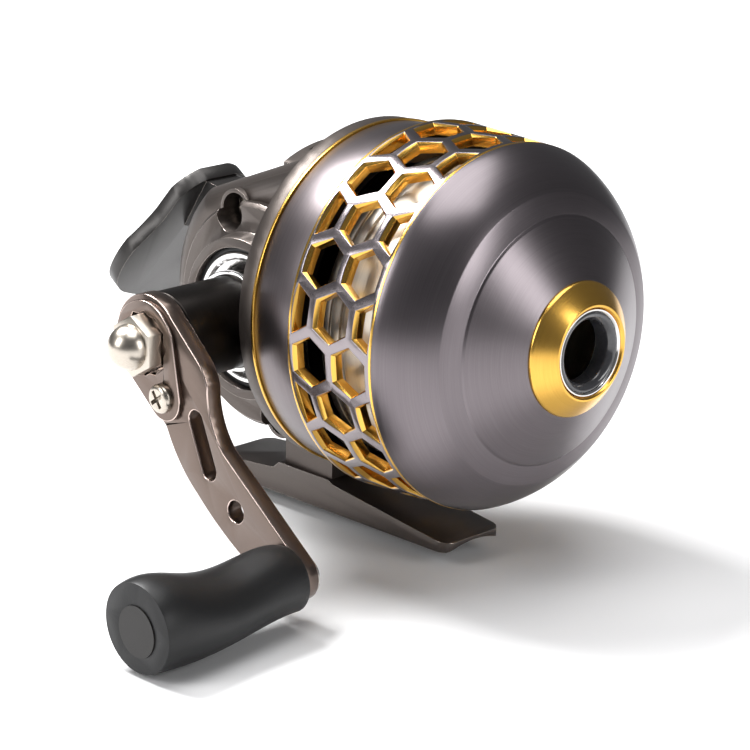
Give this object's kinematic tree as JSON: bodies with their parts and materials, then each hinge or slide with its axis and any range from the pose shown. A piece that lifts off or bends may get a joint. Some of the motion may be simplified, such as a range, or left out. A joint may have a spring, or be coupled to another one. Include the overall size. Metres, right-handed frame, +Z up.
{
  "type": "spincast reel",
  "caption": "Closed-face fishing reel with a honeycomb ring, conical front cover, side crank with a paddle knob, thumb lever and rod foot.",
  "frame": {"origin": "centre of the foot's flat underside", "axes": "+X out of the nose where the line leaves, +Z up from the foot, crank on the -Y side"},
  "size_m": [0.1093, 0.1056, 0.074],
  "materials": {
    "cast_case": "satin grey-brown paint on a die casting",
    "lever_paint": "satin graphite",
    "gunmetal": "turned, anodised gunmetal",
    "gold_anodised": "anodised gold",
    "bronze_anodised": "anodised bronze",
    "dark_sleeve": "dark anodised",
    "polished": "polished",
    "nickel": "nickel plate",
    "steel": "ground steel",
    "brass_gear": "machined brass",
    "spool_aluminium": "dark anodised",
    "ceramic": "polished dark ceramic",
    "rubber": "matte black rubber",
    "cap_plastic": "dark grey plastic",
    "dial_black": "black moulding",
    "washer_fibre": "fibre washer"
  },
  "bodies": {
    "reel_body": {"body_housing": "cast_case", "far_side_cover": "cast_case", "crank_side_plate": "cast_case", "reel_foot": "cast_case", "trim_ring": "gold_anodised", "rear_band": "gunmetal", "honeycomb_cage": "gold_anodised", "front_cover": "gunmetal", "nose_ring": "gold_anodised", "nose_insert": "polished", "line_guide": "ceramic", "spool_hub": "spool_aluminium", "pinion_bearing": "steel", "one_way_clutch": "steel", "hub_clip": "steel", "drag_pressure_plate": "steel", "drag_washer": "washer_fibre", "crank_bushing": "brass_gear", "crank_bearing": "steel", "dust_seal": "rubber", "boss_collar": "polished", "lever_pin": "steel", "side_plate_screws": "nickel", "far_cover_screws": "nickel", "foot_screws": "nickel"},
    "crank": {"crankshaft": "steel", "crank_sleeve": "dark_sleeve", "sleeve_base_ring": "polished", "crank_arm": "bronze_anodised", "retainer_plate": "bronze_anodised", "retainer_screw": "nickel", "acorn_nut": "nickel", "drive_gear": "brass_gear", "gear_clip": "steel", "knob_spindle": "steel"},
    "knob": {"handle_knob": "rubber", "knob_cap": "cap_plastic"},
    "pinion": {"pinion_gear": "brass_gear", "shaft_spring": "steel"},
    "thrust": {"thrust_cap": "dial_black"},
    "rotor": {"centre_shaft": "steel", "shaft_clip": "steel", "spinner_head": "nickel", "spinner_nut": "nickel", "pin_spring": "steel"},
    "pickup": {"pickup_pin": "steel"},
    "line_spool": {"spool": "spool_aluminium"},
    "dial": {"drag_dial": "dial_black", "drag_screw": "steel"},
    "lever": {"thumb_lever": "lever_paint"}
  },
  "joints": [
    {"name": "crank_spin", "type": "hinge", "parent": "reel_body", "child": "crank", "pos_m": [-0.005, -0.03, 0.0369], "axis": [0, -1, 0], "continuous": true},
    {"name": "knob_spin", "type": "hinge", "parent": "crank", "child": "knob", "pos_m": [0.0297, -0.058, 0.0049], "axis": [0, -1, 0], "continuous": true},
    {"name": "pinion_spin", "type": "hinge", "parent": "reel_body", "child": "pinion", "pos_m": [0.01, 0, 0.04], "axis": [1, 0, 0], "continuous": true},
    {"name": "lever_press", "type": "hinge", "parent": "reel_body", "child": "lever", "pos_m": [-0.024, 0, 0.048], "axis": [0, -1, 0], "range_deg": [0, 20], "stiffness_Nm_per_rad": 0.6, "springref_deg": -5.73},
    {"name": "shaft_slide", "type": "slide", "parent": "reel_body", "child": "thrust", "axis": [1, 0, 0], "range_m": [0, 0.0029], "deforming": ["shaft_spring"]},
    {"name": "rotor_spin", "type": "hinge", "parent": "thrust", "child": "rotor", "pos_m": [0.03, 0, 0.04], "axis": [1, 0, 0], "continuous": true},
    {"name": "pin_retract", "type": "slide", "parent": "rotor", "child": "pickup", "axis": [0, 0, 1], "range_m": [-0.0021, 0], "deforming": ["pin_spring"]},
    {"name": "spool_slip", "type": "hinge", "parent": "reel_body", "child": "line_spool", "pos_m": [0.018, 0, 0.04], "axis": [1, 0, 0], "continuous": true},
    {"name": "dial_turn", "type": "hinge", "parent": "reel_body", "child": "dial", "pos_m": [-0.005, 0, 0.0566], "axis": [1, 0, 0], "range_deg": [-150, 150]}
  ],
  "couplings": [
    {"joint": "pinion_spin", "follows": "crank_spin", "ratio": -3.2},
    {"joint": "rotor_spin", "follows": "crank_spin", "ratio": -3.2},
    {"joint": "shaft_slide", "follows": "lever_press", "m_per_rad": 0.008},
    {"joint": "pin_retract", "follows": "lever_press", "m_per_rad": -0.0058}
  ]
}
